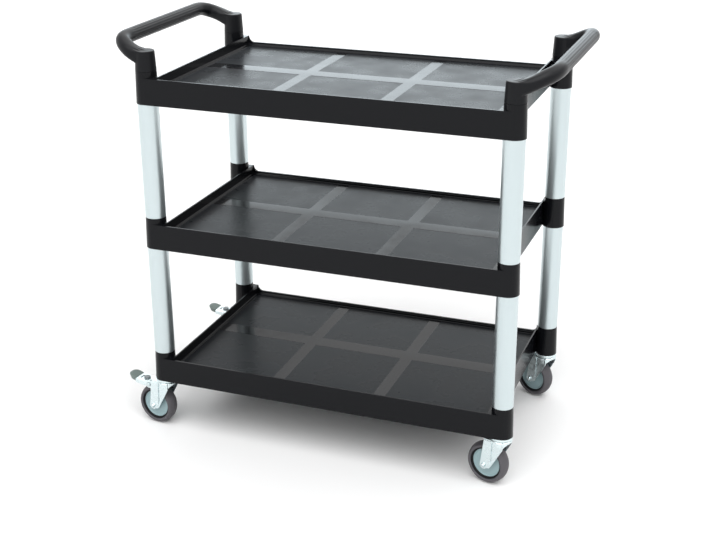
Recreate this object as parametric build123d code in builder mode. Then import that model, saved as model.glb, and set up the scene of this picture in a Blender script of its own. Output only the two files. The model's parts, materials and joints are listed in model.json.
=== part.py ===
from build123d import *
import math
import os

# Serving trolley: three moulded shelves on eight tubes, two U handles, four swivel casters, two with brakes.
# Millimetres. The origin is on the floor under the middle of the trolley, +X along its length, +Z up.

# Layout of the uprights
post_spacing_x = 844.0
post_spacing_y = 452.0
shelf_pitch = 345.0

# Uprights
tube_diameter = 48.0
tube_wall = 2.0
fit_clearance = 0.1

# Shelf moulding
skirt_length = 794.0
skirt_height = 60.0
skirt_setback = 0.4
back_rim_height = 45.0
back_dip_radius = 14.0
back_dip_overhang = 7.5
deck_height = 36.0
deck_thickness = 3.5
wall = 3.0
rim_thickness = 3.4
end_rim_thickness = 3.3
end_ledge_height = 45.0
end_ledge_inset = 5.2
end_ledge_width = 7.0
end_ledge_drop = 1.0
end_cove_width = 5.5
post_height = 74.0
post_foot_diameter = 52.0
socket_depth = 38.0
socket_floor = 6.0
spigot_land = 8.0
spigot_height = 38.0
spigot_tip_diameter = 37.0
spigot_bore_diameter = 30.0
rib_height = 12.0
rib_thickness = 2.4
rib_offset_x = 127.0
rib_gap = 20.0
corner_web_width = 16.0
corner_web_reach = 12.0
corner_web_drop = 4.0

# Handles
handle_post_height = 45.0
handle_post_top_diameter = 43.4
handle_post_edge_radius = 6.0
grip_diameter = 32.0
grip_reach = 75.5
grip_height = 60.5
arm_drop = 19.0
arm_bend_radius = 52.0

# Caster wheel
wheel_diameter = 100.0
tyre_width = 34.0
tyre_crown = 4.6
tyre_shoulder = 2.0
tyre_depth = 15.5
tyre_ring_width = 4.0
tyre_ring_rise = 1.6
tyre_side_slope = 2.5
hub_rim_depth = 3.5
hub_rim_inset = 7.1
hub_web_inset = 2.3
hub_boss_diameter = 24.0
running_clearance = 0.05
side_clearance = 0.6
axle_diameter = 8.0
bush_wall = 2.0
axle_head_diameter = 10.0
axle_head_height = 5.5
axle_head_rounding = 2.0
axle_washer_diameter = 13.0
axle_washer_height = 1.3
axle_nut_width = 13.0
axle_nut_height = 7.0
axle_end = 2.0

# Caster fork and swivel head
trail = 31.0
tyre_to_crown = 17.0
fork_sheet = 3.0
leg_sheet = 2.5
tyre_to_leg = 2.3
leg_back = 32.0
leg_front = 16.0
leg_front_depth = 11.0
leg_eye_radius = 9.5
web_bend_front = 12.6
web_bend_depth = 21.0
web_foot_front = 15.0
web_foot_drop = 4.4
strap_raise = 1.4
strap_front = 11.0
strap_foot_front = 18.0
strap_foot_rise = 12.0
crown_diameter = 50.0
crown_rim_drop = 10.5
bearing_height = 8.0
cup_gap = 1.5
cup_wall = 2.5
ball_count = 14
ball_pitch_diameter = 34.0
king_pin_diameter = 10.0
king_nut_width = 16.0
king_nut_height = 7.0
king_pin_end = 1.0
part_gap = 0.3
stem_diameter = 12.0
stem_length = 30.0
plug_length = 34.0

# Brake
pin_diameter = 6.0
pin_offset = 11.0
pin_above_tyre = 3.0
pin_head_diameter = 11.0
pin_head_height = 1.6
ear_radius = 8.5
cheek_sheet = 2.0
cheek_gap = 1.8
cheek_radius = 7.5
cheek_length = 44.0
cheek_low_reach = 17.0
cheek_low_drop = 13.0
cheek_tip_drop = 10.4
pedal_rise = 4.5
pedal_top_start = 5.0
pedal_travel = 14.0
slot_reach = 35.0
slot_width = 3.6
slot_length = 15.4
tongue_length = 18.0
tongue_width = 24.0
tongue_overlap = 1.0
tip_tilt = 14.0
shoe_reach = 8.0
shoe_length = 22.0
shoe_width = 24.0
shoe_depth = 14.0
shoe_clearance = 0.5
button_reach = 20.0
button_diameter = 16.0
button_height = 5.0
button_rounding = 1.5
stud_diameter = 6.0
stud_length = 9.0
cap_start = 0.5
cap_length = 27.0
cap_above = 3.0
cap_below = 9.5
cap_draft = 12.0
cap_tip_flat = 5.0
cap_edge_radius = 2.0
clip_start = 31.0
clip_length = 17.0
clip_width = 18.0
clip_depth = 3.7

# Where each caster stands, which way it trails, and whether it has a brake
casters = {
    "front_left": (-1, -1, 170.5, True),
    "front_right": (1, -1, 163.5, False),
    "back_left": (-1, 1, 177.0, True),
    "back_right": (1, 1, 154.0, False),
}

# Worked out from the sizes above
post_x = post_spacing_x / 2
post_y = post_spacing_y / 2
tube_radius = tube_diameter / 2
spigot_radius = tube_radius - tube_wall - fit_clearance
post_foot_radius = post_foot_diameter / 2
draft_per_height = (post_foot_radius - tube_radius) / post_height
draft_angle = math.degrees(math.atan(draft_per_height))
skirt_depth = post_spacing_y + post_foot_diameter - 2 * skirt_setback
wheel_radius = wheel_diameter / 2
crown_z = wheel_diameter + tyre_to_crown
crown_top = crown_z + fork_sheet
caster_height = crown_top + bearing_height
shelf_levels = {
    "bottom_shelf": caster_height,
    "middle_shelf": caster_height + shelf_pitch,
    "top_shelf": caster_height + 2 * shelf_pitch,
}
leg_in = tyre_width / 2 + tyre_to_leg
leg_out = leg_in + leg_sheet
strap_out = leg_out + strap_raise
pin_x = trail + pin_offset
pin_z = wheel_radius + math.sqrt(wheel_radius**2 - pin_offset**2) + pin_diameter / 2 + pin_above_tyre
corners = [(sx * post_x, sy * post_y) for sx in (-1, 1) for sy in (-1, 1)]

os.makedirs("parts", exist_ok=True)


def save(solid, name):
    """Label one finished piece and write it to its own file."""
    solid.label = name
    export_step(solid, f"parts/{name}.step")


def shelf(base):
    """One shelf moulding whose skirt and posts start at height base."""
    rim = base + skirt_height
    deck = base + deck_height
    inner_half = skirt_depth / 2 - draft_per_height * skirt_height - rim_thickness
    end_half = skirt_length / 2 - draft_per_height * skirt_height
    ledge_outer = end_half - end_ledge_inset
    ledge_inner = ledge_outer - end_ledge_width
    with BuildPart() as moulding:
        # Skirt, with the front and back walls running on to the middles of the posts
        with BuildSketch(Plane.XY.offset(base)):
            Rectangle(skirt_length, skirt_depth)
            with Locations(*[(0, side * (post_y + skirt_depth / 2) / 2) for side in (-1, 1)]):
                Rectangle(post_spacing_x, skirt_depth / 2 - post_y)
        extrude(amount=skirt_height, taper=draft_angle)
        # Hollow underside
        with BuildSketch(Plane.XY.offset(base)):
            Rectangle(skirt_length - 2 * wall, skirt_depth - 2 * wall)
        extrude(amount=deck_height - deck_thickness, taper=draft_angle, mode=Mode.SUBTRACT)
        # Tray above the deck, with a stepped end wall
        with BuildSketch(Plane.XZ):
            with BuildLine():
                right = [
                    (ledge_inner - end_cove_width, deck),
                    (ledge_inner, base + end_ledge_height - end_ledge_drop),
                    (ledge_outer, base + end_ledge_height),
                    (end_half - end_rim_thickness, rim),
                    (end_half - end_rim_thickness, rim + post_height),
                ]
                left = [(-x, z) for x, z in reversed(right)]
                Polyline(*right, *left, close=True)
            make_face()
        extrude(amount=inner_half, both=True, mode=Mode.SUBTRACT)
        # Low back rim that sweeps up to the end walls
        dip_half = ledge_inner + back_dip_overhang
        with BuildSketch(Plane.XZ.offset(-inner_half + wall)):
            with Locations((0, base + back_rim_height + post_height / 2)):
                RectangleRounded(2 * dip_half, post_height, back_dip_radius)
        extrude(amount=-post_foot_diameter, mode=Mode.SUBTRACT)
        # Ribs under the deck
        rib_z = deck - deck_thickness - rib_height / 2
        rib_run = skirt_depth - 2 * wall
        rib_span = skirt_length - 2 * wall
        rib_sides = (-rib_gap / 2, rib_gap / 2)
        with Locations(*[(sx * rib_offset_x + dx, 0, rib_z) for sx in (-1, 1) for dx in rib_sides]):
            Box(rib_thickness, rib_run, rib_height)
        with Locations(*[(0, dy, rib_z) for dy in rib_sides]):
            Box(rib_span, rib_thickness, rib_height)
        # Corner posts and the webs that tie them to the end walls
        with Locations(*[(x, y, base) for x, y in corners]):
            Cone(post_foot_radius, tube_radius, post_height, align=(Align.CENTER, Align.CENTER, Align.MIN))
        wall_middle = (wall + draft_per_height * skirt_height) / 2
        web_x = skirt_length / 2 - wall_middle + corner_web_reach / 2
        web_inner = post_y - corner_web_width
        web_outer = skirt_depth / 2 - wall_middle
        web_y = (web_inner + web_outer) / 2
        with Locations(*[(sx * web_x, sy * web_y, base) for sx in (-1, 1) for sy in (-1, 1)]):
            Box(
                corner_web_reach,
                web_outer - web_inner,
                skirt_height - corner_web_drop,
                align=(Align.CENTER, Align.CENTER, Align.MIN),
            )
        # Spigots that the next tube or handle sits over
        with Locations(*[(x, y, base + post_height) for x, y in corners]):
            Cylinder(spigot_radius, spigot_land, align=(Align.CENTER, Align.CENTER, Align.MIN))
        with Locations(*[(x, y, base + post_height + spigot_land) for x, y in corners]):
            Cone(
                spigot_radius,
                spigot_tip_diameter / 2,
                spigot_height - spigot_land,
                align=(Align.CENTER, Align.CENTER, Align.MIN),
            )
        bore_length = post_height + spigot_height - socket_depth - socket_floor
        with Locations(*[(x, y, base + post_height + spigot_height) for x, y in corners]):
            Cylinder(
                spigot_bore_diameter / 2,
                bore_length,
                align=(Align.CENTER, Align.CENTER, Align.MAX),
                mode=Mode.SUBTRACT,
            )
        # Sockets for the tube or the caster plug below
        with Locations(*[(x, y, base) for x, y in corners]):
            Cylinder(
                tube_radius + fit_clearance,
                socket_depth,
                align=(Align.CENTER, Align.CENTER, Align.MIN),
                mode=Mode.SUBTRACT,
            )
    return moulding.part


def upright(x, y, shelf_below):
    """Tube from the top of one shelf's post to the end of the next shelf's socket."""
    length = shelf_pitch - post_height + socket_depth
    with BuildPart() as tube:
        with BuildSketch(Plane((x, y, shelf_below + post_height))):
            Circle(tube_radius)
            Circle(tube_radius - tube_wall, mode=Mode.SUBTRACT)
        extrude(amount=length)
    return tube.part


def handle(side):
    """U handle on the two posts of one end; side is -1 on the left and 1 on the right."""
    foot = shelf_levels["top_shelf"] + post_height
    arm_z = foot + handle_post_height - arm_drop
    grip_z = foot + grip_height
    post_ends = [(side * post_x, -post_y), (side * post_x, post_y)]
    grip_x = side * (post_x + grip_reach)
    with BuildPart() as moulding:
        with Locations(*[(x, y, foot) for x, y in post_ends]):
            Cone(
                tube_radius,
                handle_post_top_diameter / 2,
                handle_post_height,
                align=(Align.CENTER, Align.CENTER, Align.MIN),
            )
        fillet(moulding.faces().sort_by(Axis.Z)[-2:].edges(), handle_post_edge_radius)
        # Arms and grip in one bend
        with BuildLine() as route:
            FilletPolyline(
                (side * post_x, -post_y, arm_z),
                (grip_x, -post_y, grip_z),
                (grip_x, post_y, grip_z),
                (side * post_x, post_y, arm_z),
                radius=arm_bend_radius,
            )
        with BuildSketch(Plane(route.line @ 0, z_dir=route.line % 0)):
            Circle(grip_diameter / 2)
        sweep()
        # Bores over the shelf's spigots
        with Locations(*[(x, y, foot) for x, y in post_ends]):
            Cylinder(
                spigot_radius + fit_clearance,
                spigot_land,
                align=(Align.CENTER, Align.CENTER, Align.MIN),
                mode=Mode.SUBTRACT,
            )
        with Locations(*[(x, y, foot + spigot_land) for x, y in post_ends]):
            Cone(
                spigot_radius + fit_clearance,
                spigot_tip_diameter / 2 + fit_clearance,
                spigot_height - spigot_land + fit_clearance,
                align=(Align.CENTER, Align.CENTER, Align.MIN),
                mode=Mode.SUBTRACT,
            )
    return moulding.part


# Caster pieces, made with the stem on the Z axis and the wheel trailing towards +X
axle_section = Plane(origin=(trail, 0, wheel_radius), x_dir=(0, 1, 0), z_dir=(1, 0, 0))
axle_axis = Axis((trail, 0, wheel_radius), (0, 1, 0))


def across(x, y, z):
    """Plane square to the axle, facing +Y, through a point."""
    return Plane(origin=(x, y, z), x_dir=(-1, 0, 0), z_dir=(0, 1, 0))


def stem():
    """Swivel cup with the king pin below it and the stem above it."""
    ceiling = caster_height - cup_wall
    cup_radius = crown_diameter / 2
    pin_bottom = crown_z - part_gap - king_nut_height - king_pin_end
    with BuildPart() as cup:
        with BuildSketch(Plane.XZ):
            with BuildLine():
                Polyline(
                    (0, pin_bottom),
                    (king_pin_diameter / 2, pin_bottom),
                    (king_pin_diameter / 2, ceiling),
                    (cup_radius - cup_wall, ceiling),
                    (cup_radius - cup_wall, crown_top + cup_gap),
                    (cup_radius, crown_top + cup_gap),
                    (cup_radius, caster_height),
                    (stem_diameter / 2, caster_height),
                    (stem_diameter / 2, caster_height + stem_length),
                    (0, caster_height + stem_length),
                    close=True,
                )
            make_face()
        revolve(axis=Axis.Z)
    return cup.part


def bearing_balls():
    """Row of balls between the fork's crown and the cup."""
    gap = bearing_height - cup_wall
    ball_radius = gap / 2 - running_clearance
    with BuildPart() as balls:
        with Locations((0, 0, crown_top + gap / 2)):
            with PolarLocations(ball_pitch_diameter / 2, ball_count):
                Sphere(ball_radius)
    return balls.part


def socket_plug():
    """Nylon plug in the bottom post that grips the caster's stem."""
    with BuildPart() as plug:
        with BuildSketch(Plane.XY.offset(caster_height)):
            Circle(tube_radius)
            Circle(stem_diameter / 2 + running_clearance, mode=Mode.SUBTRACT)
        extrude(amount=plug_length)
    return plug.part


def king_nut():
    """Nut under the fork's crown that keeps the fork on the king pin."""
    with BuildPart() as nut:
        with BuildSketch(Plane.XY.offset(crown_z - part_gap)):
            RegularPolygon(king_nut_width / 2, 6, major_radius=False)
            Circle(king_pin_diameter / 2 + running_clearance, mode=Mode.SUBTRACT)
        extrude(amount=-king_nut_height)
    return nut.part


def fork(braked):
    """Pressed fork: crown, turned down front rim, two legs with a raised strap, and ears for a brake pin."""
    with BuildPart() as body:
        with BuildSketch(Plane.XY.offset(crown_z)):
            Circle(crown_diameter / 2)
            with Locations((leg_back / 2, 0)):
                Rectangle(leg_back, 2 * leg_out)
        extrude(amount=fork_sheet)
        with BuildSketch(Plane.XZ):
            with BuildLine():
                Polyline(
                    (-leg_front, crown_z),
                    (leg_back, crown_z),
                    (trail + leg_eye_radius, wheel_radius),
                    (trail, wheel_radius - leg_eye_radius),
                    (trail - web_foot_front, wheel_radius - web_foot_drop),
                    (-web_bend_front, crown_z - web_bend_depth),
                    (-leg_front, crown_z - leg_front_depth),
                    close=True,
                )
            make_face()
            with Locations((trail, wheel_radius)):
                Circle(leg_eye_radius)
            if braked:
                with Locations((pin_x, pin_z)):
                    Circle(ear_radius)
                with BuildLine():
                    Polyline(
                        (trail, crown_z),
                        (leg_back, crown_z),
                        (pin_x, pin_z + ear_radius),
                        (pin_x, pin_z - ear_radius),
                        (trail, pin_z - ear_radius),
                        close=True,
                    )
                make_face()
        extrude(amount=leg_out, both=True)
        with BuildSketch(Plane.XZ):
            with BuildLine():
                Polyline(
                    (strap_front, crown_z),
                    (leg_back, crown_z),
                    (trail + leg_eye_radius, wheel_radius),
                    (trail - leg_eye_radius, wheel_radius),
                    (trail - strap_foot_front, wheel_radius + strap_foot_rise),
                    close=True,
                )
            make_face()
            with Locations((trail, wheel_radius)):
                Circle(leg_eye_radius)
        extrude(amount=strap_out, both=True)
        # Room for the wheel between the legs
        with BuildSketch(Plane.XZ):
            with Locations((0, crown_z)):
                Rectangle(2 * (pin_x + crown_diameter), crown_z, align=(Align.CENTER, Align.MAX))
        extrude(amount=leg_in, both=True, mode=Mode.SUBTRACT)
        # Turned down rim round the front half of the crown
        with BuildSketch(Plane.XY.offset(crown_z - crown_rim_drop)):
            Circle(crown_diameter / 2)
            Circle(crown_diameter / 2 - leg_sheet, mode=Mode.SUBTRACT)
            with Locations((crown_diameter / 2, 0)):
                Rectangle(crown_diameter, crown_diameter, mode=Mode.SUBTRACT)
        extrude(amount=crown_rim_drop)
        # Holes for the king pin, the axle and the brake's pivot pin
        with Locations((0, 0, crown_top)):
            Cylinder(
                king_pin_diameter / 2 + running_clearance,
                fork_sheet,
                align=(Align.CENTER, Align.CENTER, Align.MAX),
                mode=Mode.SUBTRACT,
            )
        with BuildSketch(across(trail, 0, wheel_radius)):
            Circle(axle_diameter / 2 + running_clearance)
        extrude(amount=strap_out, both=True, mode=Mode.SUBTRACT)
        if braked:
            with BuildSketch(across(pin_x, 0, pin_z)):
                Circle(pin_diameter / 2 + running_clearance)
            extrude(amount=strap_out, both=True, mode=Mode.SUBTRACT)
    return body.part


def hub():
    """Wheel centre: boss on the bush, recessed disc and rim under the tyre."""
    bore = axle_diameter / 2 + bush_wall + running_clearance
    boss_half = leg_in - side_clearance
    rim_half = tyre_width / 2 - hub_rim_inset
    web_half = rim_half - hub_web_inset
    rim_radius = wheel_radius - tyre_depth
    with BuildPart() as core:
        with BuildSketch(axle_section):
            with BuildLine():
                near = [
                    (boss_half, bore),
                    (boss_half, hub_boss_diameter / 2),
                    (web_half, hub_boss_diameter / 2),
                    (web_half, rim_radius - hub_rim_depth),
                    (rim_half, rim_radius - hub_rim_depth),
                    (rim_half, rim_radius),
                ]
                far = [(-y, r) for y, r in reversed(near)]
                Polyline(*near, *far, close=True)
            make_face()
        revolve(axis=axle_axis)
    return core.part


def tyre():
    """Rubber tread with a rounded crown, whose sides slope in to the hub's rim."""
    half = tyre_width / 2
    inner = wheel_radius - tyre_depth
    ring = inner + tyre_ring_width
    edge = wheel_radius - tyre_crown
    seat = half - hub_rim_inset
    with BuildPart() as tread:
        with BuildSketch(axle_section):
            with BuildLine():
                crown = ThreePointArc(
                    (-half + tyre_shoulder, edge), (0, wheel_radius), (half - tyre_shoulder, edge)
                )
                near = [
                    (half, edge - tyre_shoulder),
                    (half, ring + tyre_side_slope),
                    (seat + tyre_ring_rise, ring),
                    (seat, inner),
                ]
                far = [(-y, r) for y, r in reversed(near)]
                Polyline(crown @ 1, *near, *far, crown @ 0)
            make_face()
        revolve(axis=axle_axis)
    return tread.part


def axle_bolt():
    """Round headed bolt with a washer, through both legs."""
    with BuildPart() as bolt:
        with BuildSketch(across(trail, strap_out, wheel_radius)):
            Circle(axle_head_diameter / 2)
        extrude(amount=axle_head_height)
        fillet(bolt.faces().sort_by(Axis.Y)[-1].edges(), axle_head_rounding)
        with BuildSketch(across(trail, strap_out, wheel_radius)):
            Circle(axle_washer_diameter / 2)
        extrude(amount=axle_washer_height)
        with BuildSketch(across(trail, strap_out, wheel_radius)):
            Circle(axle_diameter / 2)
        extrude(amount=-(2 * strap_out + axle_nut_height + axle_end))
    return bolt.part


def axle_nut():
    """Nut on the far leg."""
    with BuildPart() as nut:
        with BuildSketch(across(trail, -strap_out, wheel_radius)):
            RegularPolygon(axle_nut_width / 2, 6, major_radius=False)
            Circle(axle_diameter / 2 + running_clearance, mode=Mode.SUBTRACT)
        extrude(amount=-axle_nut_height)
    return nut.part


def axle_bush():
    """Steel sleeve clamped between the legs, on which the wheel runs."""
    with BuildPart() as bush:
        with BuildSketch(across(trail, 0, wheel_radius)):
            Circle(axle_diameter / 2 + bush_wall)
            Circle(axle_diameter / 2 + running_clearance, mode=Mode.SUBTRACT)
        extrude(amount=leg_in, both=True)
    return bush.part


cheek_out = leg_in - cheek_gap
cheek_in = cheek_out - cheek_sheet
pedal_end = pin_x + cheek_length
pedal_top = pin_z + pedal_rise
pedal_under = pedal_top - cheek_sheet
button_x = pin_x + button_reach
tip_place = Location((pedal_end, 0, pedal_top - cheek_sheet / 2), (0, -tip_tilt, 0))
tongue_place = tip_place * Location((-tongue_overlap, 0, 0))


def brake_pedal():
    """Folded steel channel, closed on top, hung on the pivot pin, with a tongue bent up at its end."""
    with BuildPart() as pedal:
        with BuildSketch(Plane.XZ):
            with Locations((pin_x, pin_z)):
                Circle(cheek_radius)
            with BuildLine():
                Polyline(
                    (pin_x, pedal_top),
                    (pedal_end, pedal_top),
                    (pedal_end, pedal_top - cheek_tip_drop),
                    (pin_x + cheek_low_reach, pedal_top - cheek_low_drop),
                    (pin_x, pin_z - cheek_radius),
                    close=True,
                )
            make_face()
            with Locations((pin_x, pedal_top)):
                Rectangle(2 * cheek_radius, cheek_radius, align=(Align.CENTER, Align.MIN), mode=Mode.SUBTRACT)
        extrude(amount=cheek_out, both=True)
        # Room between the cheeks, open above round the pin
        with Locations((pin_x - cheek_radius, 0, pedal_under)):
            Box(
                cheek_radius + cheek_length,
                2 * cheek_in,
                cheek_radius + cheek_low_drop,
                align=(Align.MIN, Align.CENTER, Align.MAX),
                mode=Mode.SUBTRACT,
            )
        with Locations((pin_x - cheek_radius, 0, pedal_under)):
            Box(
                cheek_radius + pedal_top_start,
                2 * cheek_in,
                cheek_sheet,
                align=(Align.MIN, Align.CENTER, Align.MIN),
                mode=Mode.SUBTRACT,
            )
        # Slot and stud hole in the top
        with BuildSketch(Plane.XY.offset(pedal_top)):
            with Locations((pin_x + slot_reach, 0)):
                Rectangle(slot_width, slot_length)
            with Locations((button_x, 0)):
                Circle(stud_diameter / 2 + running_clearance)
        extrude(amount=-cheek_sheet, mode=Mode.SUBTRACT)
        # Tongue for the tip cap
        with Locations(tongue_place):
            Box(
                tongue_overlap + tongue_length,
                tongue_width,
                cheek_sheet,
                align=(Align.MIN, Align.CENTER, Align.CENTER),
            )
        with BuildSketch(across(pin_x, 0, pin_z)):
            Circle(pin_diameter / 2 + running_clearance)
        extrude(amount=cheek_out, both=True, mode=Mode.SUBTRACT)
    return pedal.part


def pedal_cap():
    """Rounded grey cap pushed over the pedal's tongue, with a clip under the pedal's top."""
    corner_radius = cheek_out - cap_tip_flat / 2
    upside_down = Plane(tip_place * Location((0, 0, cap_above), (180, 0, 0)))
    with BuildPart() as cap:
        with BuildSketch(upside_down):
            with Locations((cap_start, 0)):
                Rectangle(cap_length - cap_start, 2 * cheek_out, align=(Align.MIN, Align.CENTER))
            fillet(vertices().group_by(Axis.X)[-1], corner_radius)
        extrude(amount=cap_above + cap_below, taper=cap_draft)
        fillet(cap.faces().sort_by(Axis.Z)[-1].edges(), cap_edge_radius)
        with Locations((pin_x + clip_start, 0, pedal_under - fit_clearance)):
            Box(clip_length, clip_width, clip_depth, align=(Align.MIN, Align.CENTER, Align.MAX))
        with Locations(tongue_place):
            Box(
                tongue_overlap + tongue_length + fit_clearance,
                tongue_width + 2 * fit_clearance,
                cheek_sheet + 2 * fit_clearance,
                align=(Align.MIN, Align.CENTER, Align.CENTER),
                mode=Mode.SUBTRACT,
            )
    return cap.part


def pedal_pin():
    """Riveted pin through the fork's ears and the pedal's cheeks."""
    with BuildPart() as pin:
        with BuildSketch(across(pin_x, 0, pin_z)):
            Circle(pin_diameter / 2)
        extrude(amount=strap_out, both=True)
        for side in (-1, 1):
            with BuildSketch(across(pin_x, side * strap_out, pin_z)):
                Circle(pin_head_diameter / 2)
            extrude(amount=side * pin_head_height)
    return pin.part


def brake_shoe():
    """Pad under the pedal's top, hollowed to lie on the tyre when the pedal is down."""
    swing = math.radians(pedal_travel)
    dx = trail - pin_x
    dz = wheel_radius - pin_z
    wheel_x = pin_x + dx * math.cos(swing) - dz * math.sin(swing)
    wheel_z = pin_z + dx * math.sin(swing) + dz * math.cos(swing)
    with BuildPart() as shoe:
        with Locations((pin_x + shoe_reach, 0, pedal_under)):
            Box(shoe_length, shoe_width, shoe_depth, align=(Align.MIN, Align.CENTER, Align.MAX))
        with BuildSketch(across(wheel_x, 0, wheel_z)):
            Circle(wheel_radius + shoe_clearance)
        extrude(amount=cheek_in, both=True, mode=Mode.SUBTRACT)
        with Locations((button_x, 0, pedal_top)):
            Cylinder(
                stud_diameter / 2 + running_clearance,
                stud_length + part_gap,
                align=(Align.CENTER, Align.CENTER, Align.MAX),
                mode=Mode.SUBTRACT,
            )
    return shoe.part


def shoe_button():
    """Round button on the pedal's top, whose stud holds the brake shoe underneath."""
    with BuildPart() as button:
        with BuildSketch(Plane.XY.offset(pedal_top)):
            with Locations((button_x, 0)):
                Circle(button_diameter / 2)
        extrude(amount=button_height)
        fillet(button.faces().sort_by(Axis.Z)[-1].edges(), button_rounding)
        with BuildSketch(Plane.XY.offset(pedal_top)):
            with Locations((button_x, 0)):
                Circle(stud_diameter / 2)
        extrude(amount=-stud_length)
    return button.part


# Frame
for shelf_name, level in shelf_levels.items():
    save(shelf(level), shelf_name)
for tier, shelf_below in (("lower", "bottom_shelf"), ("upper", "middle_shelf")):
    for corner, (sx, sy, _, _) in casters.items():
        save(upright(sx * post_x, sy * post_y, shelf_levels[shelf_below]), f"{tier}_tube_{corner}")
save(handle(-1), "left_handle")
save(handle(1), "right_handle")

# Casters
places = {
    corner: Location((sx * post_x, sy * post_y, 0), (0, 0, angle))
    for corner, (sx, sy, angle, _) in casters.items()
}
plug = socket_plug()
nut = king_nut()
save(Compound(children=[plug.moved(place) for place in places.values()]), "socket_plugs")
save(Compound(children=[nut.moved(place) for place in places.values()]), "king_pin_nuts")

common = {
    "stem": stem(),
    "bearing_balls": bearing_balls(),
    "hub": hub(),
    "tyre": tyre(),
    "axle_bolt": axle_bolt(),
    "axle_nut": axle_nut(),
    "axle_bush": axle_bush(),
}
brake = {
    "brake_pedal": brake_pedal(),
    "pedal_cap": pedal_cap(),
    "pedal_pin": pedal_pin(),
    "brake_shoe": brake_shoe(),
    "shoe_button": shoe_button(),
}
for corner, (_, _, _, braked) in casters.items():
    pieces = {"fork": fork(braked), **common}
    if braked:
        pieces.update(brake)
    for piece, solid in pieces.items():
        save(solid.moved(places[corner]), f"{corner}_{piece}")
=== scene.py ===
import bpy
import json
import math
from mathutils import Matrix, Vector

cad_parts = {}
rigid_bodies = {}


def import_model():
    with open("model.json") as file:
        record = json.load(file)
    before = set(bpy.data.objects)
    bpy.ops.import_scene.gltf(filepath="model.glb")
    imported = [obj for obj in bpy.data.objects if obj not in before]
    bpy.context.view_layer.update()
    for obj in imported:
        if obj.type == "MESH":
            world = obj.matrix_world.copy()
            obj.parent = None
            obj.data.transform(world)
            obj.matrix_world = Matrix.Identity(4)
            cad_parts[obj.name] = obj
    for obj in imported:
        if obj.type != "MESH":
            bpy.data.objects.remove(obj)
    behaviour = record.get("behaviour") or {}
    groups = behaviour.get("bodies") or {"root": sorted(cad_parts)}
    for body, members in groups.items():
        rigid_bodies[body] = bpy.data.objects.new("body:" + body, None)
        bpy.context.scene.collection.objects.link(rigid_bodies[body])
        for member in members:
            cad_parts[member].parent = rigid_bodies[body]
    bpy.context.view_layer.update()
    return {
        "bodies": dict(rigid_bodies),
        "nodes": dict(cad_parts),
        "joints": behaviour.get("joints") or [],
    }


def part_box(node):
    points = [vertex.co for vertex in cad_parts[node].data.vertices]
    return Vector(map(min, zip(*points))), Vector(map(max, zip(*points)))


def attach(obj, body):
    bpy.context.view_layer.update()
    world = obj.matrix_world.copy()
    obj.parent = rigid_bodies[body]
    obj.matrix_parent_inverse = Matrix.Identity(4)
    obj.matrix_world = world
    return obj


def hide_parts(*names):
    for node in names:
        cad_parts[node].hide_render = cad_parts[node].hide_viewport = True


# Serving trolley: three black moulded shelves on aluminium tubes, two U handles and four zinc plated casters.
# Sizes are in millimetres unless a name says otherwise; meshes are in metres, in the frame's own place.

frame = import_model()

MM = 0.001
NODES = frame["nodes"]
JOINTS = {joint["name"]: joint for joint in frame["joints"]}
CORNERS = ("front_left", "front_right", "back_left", "back_right")
BRAKED = [corner for corner in CORNERS if f"{corner}_brake" in frame["bodies"]]

# Places that the frame gives
tube_low, tube_high = (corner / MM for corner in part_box("upper_tube_front_right"))
post_x = (tube_low.x + tube_high.x) / 2
post_y = -(tube_low.y + tube_high.y) / 2
tube_radius = (tube_high.x - tube_low.x) / 2
shelf_bases = {name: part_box(name)[0].z / MM for name in ("bottom_shelf", "middle_shelf", "top_shelf")}

# How near a corner lies to the place it is picked by, and how much of its normal a level face has along Z
pick_margin = 0.1
fine_margin = 0.01
level = 0.99

# How far a cutting tool passes the face it cuts, and the gap that keeps two faces from sharing a plane
tool_margin = 1.0
plane_gap = 0.1

# Shelf moulding
skirt_end = 397.0
skirt_height = 60.0
skirt_first_rise = 1.0
post_foot_radius = 26.0
post_height = 74.0
post_sunk = 8.0
post_proud = 0.03
post_margin = 1.0
post_edge = ((-post_proud, 0.8), (0.15, 0.25), (0.6, 0.0))
draft = (post_foot_radius - tube_radius) / post_height
spigot_radius = 21.9
spigot_straight = 8.0
spigot_tip_radius = 18.5
spigot_length = 38.0
socket_depth = 38.0
socket_radius = 24.15
back_rim_height = 45.0
back_dip_radius = 14.0
back_dip_half = 390.7
back_dip_cut = 40.0
back_rim_fillet = 8.0
back_rim_gap = 0.05
back_fillet_lean = 0.05
deck_height = 36.0
deck_thickness = 3.5
wall = 3.0
tray_half_depth = 246.6
tray_room_front = 50.0
tray_room_top = 95.0
end_wall_profile = (
    (387.0, deck_height - 1.0), (389.0, 39.6), (390.8, 40.0), (392.1, skirt_height), (392.1, 90.0),
)
inside_rounding = 1.6
rim_rounding = 1.1
band_offset_x = 127.0
band_centre_x = -4.0
band_centre_y = 17.0
cross_band_width = 27.5
long_band_width = 43.0
panel_step = 0.35
panel_chamfer = 0.7
rib_thickness = 2.4
rib_height = 12.0
rib_gap = 20.0
rib_bite = 1.0
long_rib_lift = 0.3

# Tubes
tube_wall = 2.0
tube_deburr = 0.4

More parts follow.
